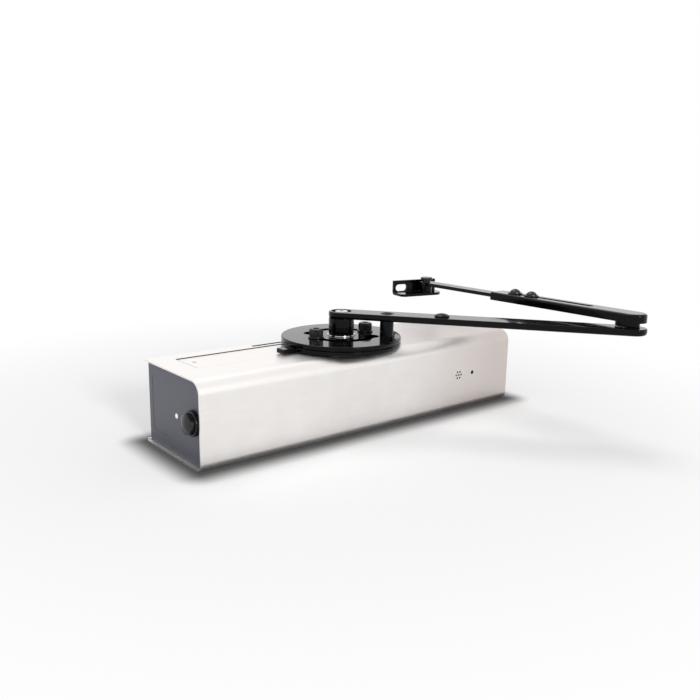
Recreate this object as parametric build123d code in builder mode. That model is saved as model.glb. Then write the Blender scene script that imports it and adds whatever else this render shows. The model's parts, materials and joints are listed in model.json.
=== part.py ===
from build123d import *
import os
from math import acos, cos, pi, radians, sin, tan

# Free swing door closer, in millimetres.
# X runs along the door, +Y points into the door, +Z is up.
# The origin is the centre of the four door fixings, on the face that lies on the door.

os.makedirs("parts", exist_ok=True)

# Casing
length = 395.0
depth = 104.0
height = 80.0
sheet = 1.5
top_edge_r = 12.6
bottom_edge_r = 7.5
return_lip = 3.2
assembly_gap = 0.3

# Door plate and end plates
door_plate = 3.0
fixing_inset = 15.5
fixing_z = 50.0
fixing_hole_r = 3.25
end_plate = 3.0
end_recess = 3.0
end_back_gap = 5.3
flange_depth = 14.0
ear_height = 56.0
ear_depth = 20.0
ear_screw_y = -16.0
ear_screw_z = 18.0
small_screw_r = 1.5
small_head_r = 2.8
small_head_h = 2.0
small_screw_bite = 2.2
cover_screw_inset = 41.5
cover_screw_y = -10.0
cover_screw_socket = 2.0

# Spindle axis, measured from the origin
spindle_x = -8.0
spindle_y = -54.7

# Access panel in the top of the casing
panel_end_gap = 23.0
panel_front = -59.0
panel_back = -17.5
panel_joint = 0.5
panel_front_joint = 0.15
panel_back_joint = 1.9
notch_half = 78.5
notch_depth = 12.0
neck_hole_r = 13.0
panel_screw_inset = 8.6
panel_screw_y = -37.2
panel_screw_r = 1.2
panel_screw_bite = 3.0
panel_boss_r = 2.6
panel_tongue = 6.0

# Sounder holes and microphone hole in the front face
sound_z = -0.4
grille_inset = 13.1
grille_pitch = 3.8
grille_hole_r = 1.1
mic_inset = 13.4
mic_hole_r = 2.1
mic_r = 4.5
sounder_r = 11.0
sounder_mouth_r = 6.0
sounder_wall = 1.2

# Button, status light and blank label recess on the left end
button_front_gap = 15.4
button_z = 0.6
bezel_r = 11.6
bezel_proud = 4.5
cap_r = 9.2
cap_proud = 10.5
cap_travel = 2.5
cap_crown = 2.4
bezel_wall = 1.2
bezel_round = 1.4
stem_r = 2.5
switch_size = 6.0
switch_h = 5.0
switch_plunger_r = 1.7
switch_plunger_h = 2.0
light_offset = 32.6
light_z = -1.5
light_r = 2.4
light_crown = 1.0
label_offset = 42.1
label_back = -8.5
label_bottom = -25.4
label_top = 26.7
label_recess = 0.3

# Drive disc and swing disc
disc_r = 61.25
disc_t = 4.5
disc_lift = 1.2
disc_gap = 0.3
disc_chamfer = 0.7
tab_reach = 76.5
tab_width = 11.0
tab_angle = 181.5
tab_root = 3.0
key_size = 13.0
drive_pcd_r = 31.0
drive_angle = 178.0
drive_shank_r = 4.0
drive_head_r = 6.5
drive_head_h = 8.0
drive_washer_r = 8.0
drive_washer_t = 1.4
drive_socket = 6.0
slot_sweep = 133.0
slot_clear = 0.4
bulb_r = 8.0

# Hub, arm and post
hub_r = 12.9
hub_ring_r = 14.3
hub_ring_t = 1.1
hub_rise = 18.1
journal_r = 6.0
bush_wall = 2.0
arm_t = 6.55
arm_length = 281.0
arm_hub_r = 13.0
arm_elbow_r = 12.9
arm_angle = -52.3
arm_edge = 0.9
arm_under_r = 2.6
arm_seat_r = 10.1
seat_depth = 2.9
retaining_head_r = 6.5
retaining_washer_t = 1.2
retaining_thread_r = 3.0
retaining_thread_l = 14.0
retaining_socket = 4.0
post_x = 47.0
post_r = 6.9
post_spigot_r = 4.0
rivet_r = 7.5
rivet_h = 1.8
stud_x = 102.0
stud_r = 7.5
stud_h = 3.4
stud_shank_r = 3.0

# Elbow and forearm channel
elbow_gap = 5.55
spacer_r = 6.4
spacer_t = 0.5
elbow_pin_r = 3.5
elbow_bush_r = 4.5
knuckle_r = 5.9
knuckle_heel_r = 8.0
knuckle_reach = 10.0
pin_head_r = 6.0
pin_head_h = 1.6
forearm_angle = 90.4
forearm_length = 164.0
forearm_half = 11.75
forearm_h = 8.4
forearm_t = 2.0
forearm_edge = 2.4
slot_start = 44.5
slot_end_gap = 16.0
slot_width = 7.0

# Slide rod and its clamp screws
rod_half = 8.0
rod_t = 4.0
rod_overlap = 42.0
clamp_slot_gap = 29.4
clamp_pitch = 21.4
clamp_shank_r = 3.0
clamp_head_r = 5.8
clamp_head_h = 5.2
clamp_flange_r = 7.6
clamp_flange_t = 1.2
clamp_socket = 4.0

# Shoe
pivot_x = 273.0
shoe_angle = -10.7
shoe_left = -39.5
shoe_right = 19.0
shoe_t = 3.0
web_y = 9.6
ledge_front = -10.0
ledge_bottom = 71.8
web_top = 88.5
shoe_bend = 0.8
shoe_corner = 5.5
shoe_cut = 12.0
shoe_slot_x = -28.8
shoe_slot_l = 16.0
shoe_slot_w = 8.0
shoe_hole_x = 12.5
shoe_hole_r = 3.25
shoe_hole_z = 79.8
pivot_r = 4.0
pivot_head_r = 6.9
pivot_head_h = 2.4
pivot_collar_r = 4.6
pivot_collar_h = 2.6
pivot_spacer_r = 6.4
pivot_head_round = 0.6

# Hydraulic unit
unit_depth = 48.0
unit_height = 56.0
unit_left = -86.0
block_right = 34.0
tube_r = 23.0
unit_end_gap = 28.0
bore_r = 19.0
boss_r = 18.5
boss_z = 33.0
bearing_r = 14.5
cast_edge = 3.0
cap_flange = 5.0
cap_thread = 9.0
cap_socket = 10.0
cap_flange_r = 21.0
adjuster_l = 14.0
adjuster_hex = 24.0
adjuster_hex_h = 4.0
ring_groove = 1.5
ring_width = 2.4
ring_edge = 2.0
bearing_z = 19.5
bearing_h = 8.5
seal_h = 2.5
valve_x = -70.0
valve_z = 12.0
valve_r = 4.0
valve_depth = 7.0
valve_proud = 1.2
valve_slot = 1.2
solenoid_x = -26.0
solenoid_r = 10.0
solenoid_l = 18.0
solenoid_hex = 17.0
solenoid_hex_h = 6.0
solenoid_thread_r = 6.0
solenoid_bite = 4.0

# Saddles under the hydraulic unit
saddle_x = (-70.0, 18.0)
saddle_half = 11.0
saddle_foot = 8.0
saddle_t = 2.5
saddle_height = 50.0
saddle_z = 18.0
unit_screw_r = 3.0
unit_screw_bite = 12.0
unit_screw_socket = 4.0

# Rack and pinion
module = 2.0
teeth = 12
pressure_angle = 25.0
tooth_backlash = 0.3
gear_face = 18.0
shaft_r = 8.0
neck_r = 9.4
spindle_range = 120.0
piston_clear = 0.05
piston_head = 11.5
piston_window_end = 1.5

# Closing spring
wire_r = 2.2
spring_mean_r = 14.5
spring_turns = 7.0

# Running clearance on the radius, and the fit between pieces of one body
running = 0.05
seat_fit = 0.02

# Battery tray and boards
cell_r = 17.1
cell_nub_r = 4.5
cell_nub_h = 1.6
cell_gap = 0.4
tray_offset = 3.25
contact_t = 0.5
contact_w = 12.0
tray_wall = 2.0
tray_gap = 12.0
tray_rib = 3.0
tray_rib_pitch = 40.0
tray_rib_height = 40.0
board_t = 1.6
board_end_gap = 15.1
board_front_gap = 10.0
board_back_gap = 30.0
board_height = 46.0
board_screw_inset = 8.0
board_screw_z = 39.0
board_screw_r = 1.5
board_screw_bite = 6.0
board_head_r = 2.6
board_head_h = 1.6
board_post_r = 3.5
board_post_l = 9.9
sound_board_length = 48.0
sound_board_half = 15.0
sound_board_gap = 4.0
bracket_inset = 35.5
bracket_foot = 18.0
bracket_t = 1.5

# Sizes worked out from the sizes above
casing_top = height / 2
casing_bottom = -height / 2
drive_disc_z = casing_top + disc_lift
swing_disc_z = drive_disc_z + disc_t + disc_gap
swing_disc_top = swing_disc_z + disc_t
arm_z = swing_disc_top + hub_rise
arm_top = arm_z + arm_t
forearm_z = arm_top + elbow_gap
knuckle_z = arm_top + spacer_t + 0.15
forearm_top = forearm_z + forearm_h
web_under = forearm_top - forearm_t
rod_top = web_under - 0.15
rod_z = rod_top - rod_t
ledge_top = ledge_bottom + shoe_t
inner_top = casing_top - sheet
inner_bottom = casing_bottom + sheet
end_x = length / 2 - end_recess
plate_half = end_x - end_plate
fixing_x = length - 2 * fixing_inset
cover_screw_x = plate_half - cover_screw_inset
panel_left = panel_end_gap - length / 2
panel_screw_x = panel_left + panel_screw_inset
plate_bottom = casing_bottom + return_lip + assembly_gap
plate_top = inner_top - 0.5
ledge_z = inner_bottom + assembly_gap
lip_clear = sheet + 2 * assembly_gap
button_y = button_front_gap - depth
light_y = button_y + light_offset
label_front = button_y + label_offset
bezel_neck_r = cap_r + assembly_gap + bezel_wall
cover_screw_r = small_screw_r
control_board_x = board_end_gap - plate_half
control_board_y = (board_front_gap - depth - board_back_gap) / 2
control_board_width = depth - board_front_gap - board_back_gap
board_screw_y = control_board_width - 2 * board_screw_inset
stem_l = plate_half - board_t + control_board_x - switch_h - switch_plunger_h - cap_travel - 0.1
bracket_x = plate_half - bracket_inset
sound_board_right = bracket_x - sound_board_gap
sound_board_left = sound_board_right - sound_board_length
grille_x = sound_board_left + grille_inset
mic_x = sound_board_right - mic_inset
sound_board_y = -depth + sheet + assembly_gap + sounder_wall + 1.7
sounder_h = sound_board_y + depth - sheet - assembly_gap
mic_h = sounder_h
cell_pitch = 2 * cell_r + cell_gap
tray_inner = cell_pitch + 2 * cell_r + cell_gap
cell_y = -(depth - sheet + door_plate) / 2 - tray_offset
tray_back = cell_y + tray_inner / 2 + tray_wall
tray_left = control_board_x + board_post_l
tray_right = unit_left - tray_gap
cell_length = tray_right - tray_left - 2 * tray_wall - 2 * contact_t - cell_nub_h - cell_gap
cell_start = tray_left + tray_wall + contact_t + cell_gap / 2
unit_right = bracket_x - unit_end_gap
adjuster_face = unit_right - adjuster_l
unit_front = spindle_y - unit_depth / 2
unit_back = spindle_y + unit_depth / 2
shoulder_z = bearing_z + bearing_h + seal_h + assembly_gap
spigot_top = arm_top - seat_depth
journal_top = spigot_top + 0.15
retaining_head_t = arm_top - journal_top - retaining_washer_t
drive_washer_z = swing_disc_top + disc_gap
pin_head_z = web_under - pin_head_h - assembly_gap
slide_gap = web_under - rod_top
slot_end = forearm_length - slot_end_gap
clamp_x = slot_end - clamp_slot_gap
rod_start = slot_end - rod_overlap
clamp_seat = forearm_top + slide_gap

# Gearing worked out from the module
pitch_r = module * teeth / 2
outer_r = pitch_r + module
root_r = pitch_r - 1.25 * module
base_r = pitch_r * cos(radians(pressure_angle))
flank_radii = [base_r + (outer_r - base_r) * k / 4 for k in range(5)]
pitch = pi * module
travel = pitch_r * radians(spindle_range)
rack_tip = pitch_r - module
rack_root = pitch_r + 1.25 * module
rack_first = -round(travel / pitch) - 1
rack_last = 1
space_mid = pitch / 4 + tooth_backlash / 4
space_mouth = space_mid + module * tan(radians(pressure_angle))
space_root = space_mid - 1.25 * module * tan(radians(pressure_angle))
window_right = outer_r + piston_window_end
window_left = -outer_r - piston_window_end - travel
window_back = outer_r + 2 * assembly_gap
spring_start = spindle_x + window_right + piston_head + wire_r + 0.1
spring_pitch = (adjuster_face - wire_r - 0.1 - spring_start) / spring_turns

# Planes of the moving arms
arm_dir = (cos(radians(arm_angle)), sin(radians(arm_angle)), 0)
elbow_x = spindle_x + arm_length * arm_dir[0]
elbow_y = spindle_y + arm_length * arm_dir[1]
forearm_dir = (cos(radians(forearm_angle)), sin(radians(forearm_angle)), 0)
shoe_pivot_x = elbow_x + pivot_x * forearm_dir[0]
shoe_pivot_y = elbow_y + pivot_x * forearm_dir[1]
shoe_dir = (cos(radians(shoe_angle)), sin(radians(shoe_angle)), 0)


def spindle_plane(z):
    return Plane(origin=(spindle_x, spindle_y, z), x_dir=(1, 0, 0), z_dir=(0, 0, 1))


def arm_plane(z):
    return Plane(origin=(spindle_x, spindle_y, z), x_dir=arm_dir, z_dir=(0, 0, 1))


def forearm_plane(z):
    return Plane(origin=(elbow_x, elbow_y, z), x_dir=forearm_dir, z_dir=(0, 0, 1))


def shoe_plane(z):
    return Plane(origin=(shoe_pivot_x, shoe_pivot_y, z), x_dir=shoe_dir, z_dir=(0, 0, 1))


def shoe_end(x):
    origin = shoe_plane(0).from_local_coords(Vector(x, 0, 0))
    return Plane(origin=origin, x_dir=(-shoe_dir[1], shoe_dir[0], 0), z_dir=shoe_dir)


def shoe_upright(y):
    origin = shoe_plane(0).from_local_coords(Vector(0, y, 0))
    return Plane(origin=origin, x_dir=shoe_dir, z_dir=(shoe_dir[1], -shoe_dir[0], 0))


def left_plane(x, y, z):
    return Plane(origin=(x, y, z), x_dir=(0, -1, 0), z_dir=(-1, 0, 0))


def under_plane(x, y):
    return Plane(origin=(x, y, casing_bottom), x_dir=(1, 0, 0), z_dir=(0, 0, -1))


def door_side_plane(x, z):
    return Plane(origin=(x, 0, z), x_dir=(1, 0, 0), z_dir=(0, 1, 0))


def end_screw_plane(side, z):
    inner_x = side * (plate_half - door_plate)
    return Plane(origin=(inner_x, ear_screw_y, z), x_dir=(0, 1, 0), z_dir=(-side, 0, 0))


def casing_outline(inset, back):
    """Closed section of the casing, drawn in by an inset and cut off in front of the door."""
    front = -depth + inset
    with BuildSketch() as outline:
        with Locations(((front + back) / 2, 0)):
            Rectangle(back - front, height - 2 * inset)
        corners = outline.vertices().group_by(Axis.X)[0].sort_by(Axis.Y)
        fillet(corners[-1], top_edge_r - inset)
        fillet(corners[0], bottom_edge_r - inset)
    return outline.sketch


def domed(radius, edge, rise, shank_r, shank_l, socket=0):
    """Screw or stud with a domed head above the ground plane and a hexagon socket across flats."""
    with BuildPart() as piece:
        with BuildSketch(Plane.XZ):
            with BuildLine():
                Polyline((0, rise), (0, -shank_l), (shank_r, -shank_l), (shank_r, 0), (radius, 0), (radius, edge))
                TangentArc((0, rise), (radius, edge), tangent=(1, 0))
            make_face()
        revolve(axis=Axis.Z)
        if socket:
            with BuildSketch(Plane.XY.offset(rise)):
                RegularPolygon(socket / 2, 6, major_radius=False)
            extrude(amount=-0.6 * rise, mode=Mode.SUBTRACT)
    return piece.part


def countersunk(shank_r, cone, shank_l, socket):
    """Flat head screw, its face on the ground plane and its length measured over the head."""
    with BuildPart() as piece:
        with BuildSketch(Plane.XZ):
            with BuildLine():
                Polyline((0, 0), (0, -shank_l), (shank_r, -shank_l), (shank_r, -cone), (shank_r + cone, 0))
                Line((shank_r + cone, 0), (0, 0))
            make_face()
        revolve(axis=Axis.Z)
        with BuildSketch():
            RegularPolygon(socket / 2, 6, major_radius=False)
        extrude(amount=-0.75 * cone, mode=Mode.SUBTRACT)
    return piece.part


def crown(radius, rise):
    """Low spherical dome that stands on the ground plane."""
    with BuildPart() as piece:
        with BuildSketch(Plane.XZ):
            with BuildLine():
                Polyline((0, rise), (0, 0), (radius, 0))
                TangentArc((0, rise), (radius, 0), tangent=(1, 0))
            make_face()
        revolve(axis=Axis.Z)
    return piece.part


def flank_point(r, side):
    """Point of the involute flank at a radius, on a tooth centred on the first axis."""
    roll = tan(radians(pressure_angle)) - radians(pressure_angle)
    angle = acos(base_r / r)
    half = (pitch / 4 - tooth_backlash / 4) / pitch_r + roll - (tan(angle) - angle)
    return (r * cos(half), side * r * sin(half))


# Cover: one folded stainless sheet, open at the back and at both ends
outer_section = casing_outline(0, -assembly_gap)
inner_section = casing_outline(sheet, -assembly_gap)
with BuildPart() as cover:
    with BuildSketch(Plane.YZ.offset(-length / 2)):
        add(outer_section)
        add(inner_section, mode=Mode.SUBTRACT)
        with Locations((-assembly_gap - sheet / 2, casing_bottom + return_lip / 2)):
            Rectangle(sheet, return_lip)
    extrude(amount=length)
    # long opening for the access panel, with a round end about the spindle neck
    with BuildSketch(Plane.XY.offset(casing_top)):
        with Locations(((panel_left + spindle_x) / 2, (panel_front + panel_back) / 2)):
            Rectangle(spindle_x - panel_left, panel_back - panel_front)
        with Locations((spindle_x, spindle_y)):
            Circle(neck_hole_r)
    extrude(amount=-2 * sheet, mode=Mode.SUBTRACT)
    # notch in the back edge of the top
    with BuildSketch(Plane.XY.offset(casing_top)):
        with Locations((spindle_x, -notch_depth / 2)):
            Rectangle(2 * notch_half, notch_depth)
    extrude(amount=-2 * sheet, mode=Mode.SUBTRACT)
    # ring of six holes about a seventh, and the microphone hole
    with BuildSketch(Plane.XZ.offset(depth)):
        with Locations((grille_x, sound_z)):
            Circle(grille_hole_r)
            with PolarLocations(grille_pitch, 6):
                Circle(grille_hole_r)
        with Locations((mic_x, sound_z)):
            Circle(mic_hole_r)
    extrude(amount=-2 * sheet, mode=Mode.SUBTRACT)
    with Locations(*[under_plane(x, cover_screw_y) for x in (-cover_screw_x, cover_screw_x)]):
        CounterSinkHole(cover_screw_r + seat_fit, cover_screw_r + sheet + seat_fit, 2 * sheet, 90)
cover.part.label = "cover"
export_step(cover.part, "parts/cover.step")

# Access panel: fills the opening behind and beside the spindle neck
with BuildPart() as access_panel:
    with BuildSketch(Plane.XY.offset(inner_top)):
        left = panel_left + panel_joint
        front = panel_front + panel_front_joint
        back = panel_back - panel_back_joint
        with Locations(((left + spindle_x) / 2, (front + back) / 2)):
            Rectangle(spindle_x - left, back - front)
        with Locations((spindle_x, spindle_y)):
            Circle(neck_hole_r - panel_joint, mode=Mode.SUBTRACT)
    extrude(amount=sheet)
    # tongue that hooks under the cover at the right end
    with BuildSketch(Plane.XY.offset(inner_top)):
        with Locations((spindle_x, (back + spindle_y) / 2 + neck_hole_r / 2)):
            Rectangle(2 * panel_tongue, panel_tongue)
    extrude(amount=-sheet)
    with Locations((panel_screw_x, panel_screw_y, casing_top)):
        CounterSinkHole(panel_screw_r + seat_fit, panel_screw_r + 0.8 * sheet + seat_fit, 2 * sheet, 90)
access_panel.part.label = "access_panel"
export_step(access_panel.part, "parts/access_panel.step")

# Panel screw, at the left end of the access panel
panel_screw_shape = countersunk(panel_screw_r, 0.8 * sheet, sheet + panel_screw_bite, 1.5)
with BuildPart() as panel_screw:
    with Locations((panel_screw_x, panel_screw_y, casing_top)):
        add(panel_screw_shape)
panel_screw.part.label = "panel_screw"
export_step(panel_screw.part, "parts/panel_screw.step")

unit_screw_seats = [door_side_plane(x, z) for x in saddle_x for z in (-saddle_z, saddle_z)]
unit_screw_points = [(x, z) for x in saddle_x for z in (-saddle_z, saddle_z)]

# Mounting plate: folded steel plate that lies on the door, with a ledge below and an ear at each end
with BuildPart() as mounting_plate:
    with BuildSketch(Plane.YZ.offset(-plate_half)):
        with BuildLine():
            Polyline(
                (0, plate_bottom),
                (0, plate_top),
                (-door_plate, plate_top),
                (-door_plate, ledge_z + door_plate),
                (-flange_depth - door_plate, ledge_z + door_plate),
                (-flange_depth - door_plate, ledge_z),
                (-lip_clear, ledge_z),
                (-lip_clear, plate_bottom),
                close=True,
            )
        make_face()
    extrude(amount=2 * plate_half)
    for ear_x in (-plate_half, plate_half - door_plate):
        with BuildSketch(Plane.YZ.offset(ear_x)):
            with Locations((-door_plate / 2 - ear_depth / 2, 0)):
                Rectangle(ear_depth + door_plate, ear_height)
            with Locations((ear_screw_y, ear_screw_z), (ear_screw_y, -ear_screw_z)):
                Circle(small_screw_r + seat_fit, mode=Mode.SUBTRACT)
        extrude(amount=door_plate)
    with BuildSketch(Plane.XZ):
        with GridLocations(fixing_x, fixing_z, 2, 2):
            Circle(fixing_hole_r)
    extrude(amount=door_plate, mode=Mode.SUBTRACT)
    with Locations(*unit_screw_seats):
        CounterSinkHole(unit_screw_r + seat_fit, unit_screw_r + door_plate + seat_fit, 2 * door_plate, 90)
    with BuildSketch(Plane.XY.offset(ledge_z)):
        with Locations((-cover_screw_x, cover_screw_y), (cover_screw_x, cover_screw_y)):
            Circle(cover_screw_r + seat_fit)
    extrude(amount=door_plate, mode=Mode.SUBTRACT)
mounting_plate.part.label = "mounting_plate"
export_step(mounting_plate.part, "parts/mounting_plate.step")

# Cover screws: countersunk from below, into the ledge of the mounting plate
cover_screw_shape = countersunk(cover_screw_r, sheet, ledge_z + door_plate - casing_bottom, cover_screw_socket)
with BuildPart() as cover_screws:
    with Locations(*[under_plane(x, cover_screw_y) for x in (-cover_screw_x, cover_screw_x)]):
        add(cover_screw_shape)
cover_screws.part.label = "cover_screws"
export_step(cover_screws.part, "parts/cover_screws.step")

end_section = casing_outline(sheet + assembly_gap, -end_back_gap)

# Left end plate, with the button hole, the light hole and the bare label recess
with BuildPart() as left_end_plate:
    with BuildSketch(Plane.YZ.offset(-end_x)):
        add(end_section)
        with Locations((button_y, button_z)):
            Circle(bezel_neck_r + seat_fit, mode=Mode.SUBTRACT)
        with Locations((light_y, light_z)):
            Circle(light_r + seat_fit, mode=Mode.SUBTRACT)
    extrude(amount=end_plate)
    with BuildSketch(Plane.YZ.offset(-end_x)):
        with Locations(((label_front + label_back) / 2, (label_bottom + label_top) / 2)):
            RectangleRounded(label_back - label_front, label_top - label_bottom, 1.5)
    extrude(amount=label_recess, mode=Mode.SUBTRACT)
    with BuildSketch(Plane.YZ.offset(-plate_half)):
        with Locations((ear_screw_y, ear_screw_z), (ear_screw_y, -ear_screw_z)):
            Circle(small_screw_r + seat_fit)
    extrude(amount=-small_screw_bite, mode=Mode.SUBTRACT)
left_end_plate.part.label = "left_end_plate"
export_step(left_end_plate.part, "parts/left_end_plate.step")

# Right end plate
with BuildPart() as right_end_plate:
    with BuildSketch(Plane.YZ.offset(plate_half)):
        add(end_section)
    extrude(amount=end_plate)
    with BuildSketch(Plane.YZ.offset(plate_half)):
        with Locations((ear_screw_y, ear_screw_z), (ear_screw_y, -ear_screw_z)):
            Circle(small_screw_r + seat_fit)
    extrude(amount=small_screw_bite, mode=Mode.SUBTRACT)
right_end_plate.part.label = "right_end_plate"
export_step(right_end_plate.part, "parts/right_end_plate.step")

# End plate screws: through the ears from inside
end_screw_shape = domed(small_head_r, 0.8, small_head_h, small_screw_r, door_plate + small_screw_bite)
with BuildPart() as end_plate_screws:
    with Locations(*[end_screw_plane(side, z) for side in (-1, 1) for z in (-ear_screw_z, ear_screw_z)]):
        add(end_screw_shape)
end_plate_screws.part.label = "end_plate_screws"
export_step(end_plate_screws.part, "parts/end_plate_screws.step")

# Bezel: ring about the button, with a neck through the end plate
with BuildPart() as button_bezel:
    with BuildSketch(left_plane(-plate_half, button_y, button_z)):
        Circle(bezel_neck_r)
    extrude(amount=end_plate)
    with BuildSketch(left_plane(-end_x, button_y, button_z)):
        Circle(bezel_r)
    extrude(amount=bezel_proud)
    fillet(button_bezel.edges().group_by(Axis.X)[0], bezel_round)
    with BuildSketch(left_plane(-plate_half, button_y, button_z)):
        Circle(cap_r + assembly_gap)
    extrude(amount=end_plate + bezel_proud, mode=Mode.SUBTRACT)
button_bezel.part.label = "button_bezel"
export_step(button_bezel.part, "parts/button_bezel.step")

# Push button: domed cap kept in by a flange behind the bezel, with a stem that reaches towards the switch
cap_dome = crown(cap_r, cap_crown)
with BuildPart() as push_button:
    with BuildSketch(left_plane(-plate_half, button_y, button_z)):
        Circle(cap_r)
    extrude(amount=cap_proud + end_plate - cap_crown)
    with Locations(left_plane(-end_x - cap_proud + cap_crown, button_y, button_z)):
        add(cap_dome)
    with BuildSketch(left_plane(-plate_half + 0.1, button_y, button_z)):
        Circle(cap_r + bezel_wall)
    extrude(amount=-bezel_wall)
    with BuildSketch(left_plane(-plate_half, button_y, button_z)):
        Circle(cap_r)
    extrude(amount=-bezel_wall)
    with BuildSketch(left_plane(-plate_half, button_y, button_z)):
        Circle(stem_r)
    extrude(amount=-stem_l)
push_button.part.label = "push_button"
export_step(push_button.part, "parts/push_button.step")

# Status light: light guide from the control board to the end face
light_dome = crown(light_r, light_crown)
with BuildPart() as status_light:
    with BuildSketch(left_plane(control_board_x - board_t, light_y, light_z)):
        Circle(light_r)
    extrude(amount=end_x - board_t + control_board_x)
    with Locations(left_plane(-end_x, light_y, light_z)):
        add(light_dome)
status_light.part.label = "status_light"
export_step(status_light.part, "parts/status_light.step")

# Control board, standing behind the left end plate
with BuildPart() as control_board:
    with BuildSketch(Plane.YZ.offset(control_board_x - board_t)):
        with Locations((control_board_y, 0)):
            Rectangle(control_board_width, board_height)
            with GridLocations(board_screw_y, board_screw_z, 2, 2):
                Circle(board_screw_r + seat_fit, mode=Mode.SUBTRACT)
    extrude(amount=board_t)
control_board.part.label = "control_board"
export_step(control_board.part, "parts/control_board.step")

# Button switch on the control board
with BuildPart() as button_switch:
    with BuildSketch(left_plane(control_board_x - board_t, button_y, button_z)):
        Rectangle(switch_size, switch_size)
    extrude(amount=switch_h)
    with BuildSketch(left_plane(control_board_x - board_t - switch_h, button_y, button_z)):
        Circle(switch_plunger_r)
    extrude(amount=switch_plunger_h)
button_switch.part.label = "button_switch"
export_step(button_switch.part, "parts/button_switch.step")

# Board screws
board_screw_shape = domed(board_head_r, 0.6, board_head_h, board_screw_r, board_t + board_screw_bite)
with BuildPart() as board_screws:
    with Locations(left_plane(control_board_x - board_t, control_board_y, 0)):
        with GridLocations(board_screw_y, board_screw_z, 2, 2):
            add(board_screw_shape)
board_screws.part.label = "board_screws"
export_step(board_screws.part, "parts/board_screws.step")

# Battery tray: open at the front, on two ribs from the mounting plate, with posts for the control board
with BuildPart() as battery_tray:
    with BuildSketch(Plane.YZ.offset(tray_left)):
        with Locations((cell_y, 0)):
            Rectangle(tray_inner + 2 * tray_wall, tray_inner + 2 * tray_wall)
    extrude(amount=tray_right - tray_left)
    with BuildSketch(Plane.YZ.offset(tray_left + tray_wall)):
        with Locations((cell_y - tray_wall, 0)):
            Rectangle(tray_inner + 2 * tray_wall, tray_inner)
    extrude(amount=tray_right - tray_left - 2 * tray_wall, mode=Mode.SUBTRACT)
    with BuildSketch(Plane.XZ.offset(door_plate)):
        with Locations(((tray_left + tray_right) / 2, 0)):
            with GridLocations(tray_rib_pitch, 0, 2, 1):
                Rectangle(tray_rib, tray_rib_height)
    extrude(amount=-door_plate - tray_back)
    # boss under the screw of the access panel
    with BuildSketch(Plane.XY.offset(tray_inner / 2)):
        with Locations((panel_screw_x, panel_screw_y)):
            Circle(panel_boss_r)
    extrude(amount=inner_top - tray_inner / 2)
    with BuildSketch(Plane.XY.offset(inner_top)):
        with Locations((panel_screw_x, panel_screw_y)):
            Circle(panel_screw_r + seat_fit)
    extrude(amount=-panel_screw_bite, mode=Mode.SUBTRACT)
    with BuildSketch(Plane.YZ.offset(tray_left)):
        with Locations((control_board_y, 0)):
            with GridLocations(board_screw_y, board_screw_z, 2, 2):
                Circle(board_post_r)
    extrude(amount=control_board_x - tray_left)
    with BuildSketch(Plane.YZ.offset(control_board_x)):
        with Locations((control_board_y, 0)):
            with GridLocations(board_screw_y, board_screw_z, 2, 2):
                Circle(board_screw_r + seat_fit)
    extrude(amount=board_screw_bite, mode=Mode.SUBTRACT)
battery_tray.part.label = "battery_tray"
export_step(battery_tray.part, "parts/battery_tray.step")

# Battery cells: four in a square, lying along the casing
with BuildPart() as battery_cells:
    with BuildSketch(Plane.YZ.offset(cell_start)):
        with Locations((cell_y, 0)):
            with GridLocations(cell_pitch, cell_pitch, 2, 2):
                Circle(cell_r)
    extrude(amount=cell_length)
    with BuildSketch(Plane.YZ.offset(cell_start + cell_length)):
        with Locations((cell_y, 0)):
            with GridLocations(cell_pitch, cell_pitch, 2, 2):
                Circle(cell_nub_r)
    extrude(amount=cell_nub_h)
battery_cells.part.label = "battery_cells"
export_step(battery_cells.part, "parts/battery_cells.step")

# Battery contacts: a plate at each end of the tray
with BuildPart() as battery_contacts:
    for contact_x in (tray_left + tray_wall, tray_right - tray_wall - contact_t):
        with BuildSketch(Plane.YZ.offset(contact_x)):
            with Locations((cell_y, 0)):
                with GridLocations(cell_pitch, 0, 2, 1):
                    Rectangle(contact_w, cell_pitch + contact_w)
        extrude(amount=contact_t)
battery_contacts.part.label = "battery_contacts"
export_step(battery_contacts.part, "parts/battery_contacts.step")

# Sound bracket: bent strip from the mounting plate to the front of the casing
with BuildPart() as sound_bracket:
    with BuildSketch(Plane.XY.offset(-sound_board_half)):
        with BuildLine():
            Polyline(
                (bracket_x, -door_plate),
                (bracket_x + bracket_foot, -door_plate),
                (bracket_x + bracket_foot, -door_plate - bracket_t),
                (bracket_x + bracket_t, -door_plate - bracket_t),
                (bracket_x + bracket_t, sound_board_y + board_t),
                (sound_board_left, sound_board_y + board_t),
                (sound_board_left, sound_board_y + board_t + bracket_t),
                (bracket_x, sound_board_y + board_t + bracket_t),
                close=True,
            )
        make_face()
    extrude(amount=2 * sound_board_half)
sound_bracket.part.label = "sound_bracket"
export_step(sound_bracket.part, "parts/sound_bracket.step")

# Sound board, sounder and microphone behind the holes of the front face
with BuildPart() as sound_board:
    with BuildSketch(Plane.XZ.offset(-sound_board_y - board_t)):
        with Locations(((sound_board_left + sound_board_right) / 2, 0)):
            Rectangle(sound_board_right - sound_board_left, 2 * sound_board_half)
    extrude(amount=board_t)
sound_board.part.label = "sound_board"
export_step(sound_board.part, "parts/sound_board.step")

with BuildPart() as sounder:
    with BuildSketch(Plane.XZ.offset(-sound_board_y)):
        with Locations((grille_x, sound_z)):
            Circle(sounder_r)
            Circle(sounder_mouth_r, mode=Mode.SUBTRACT)
    extrude(amount=sounder_h)
    with BuildSketch(Plane.XZ.offset(-sound_board_y)):
        with Locations((grille_x, sound_z)):
            Circle(sounder_mouth_r)
    extrude(amount=sounder_h - sounder_wall)
sounder.part.label = "sounder"
export_step(sounder.part, "parts/sounder.step")

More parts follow.
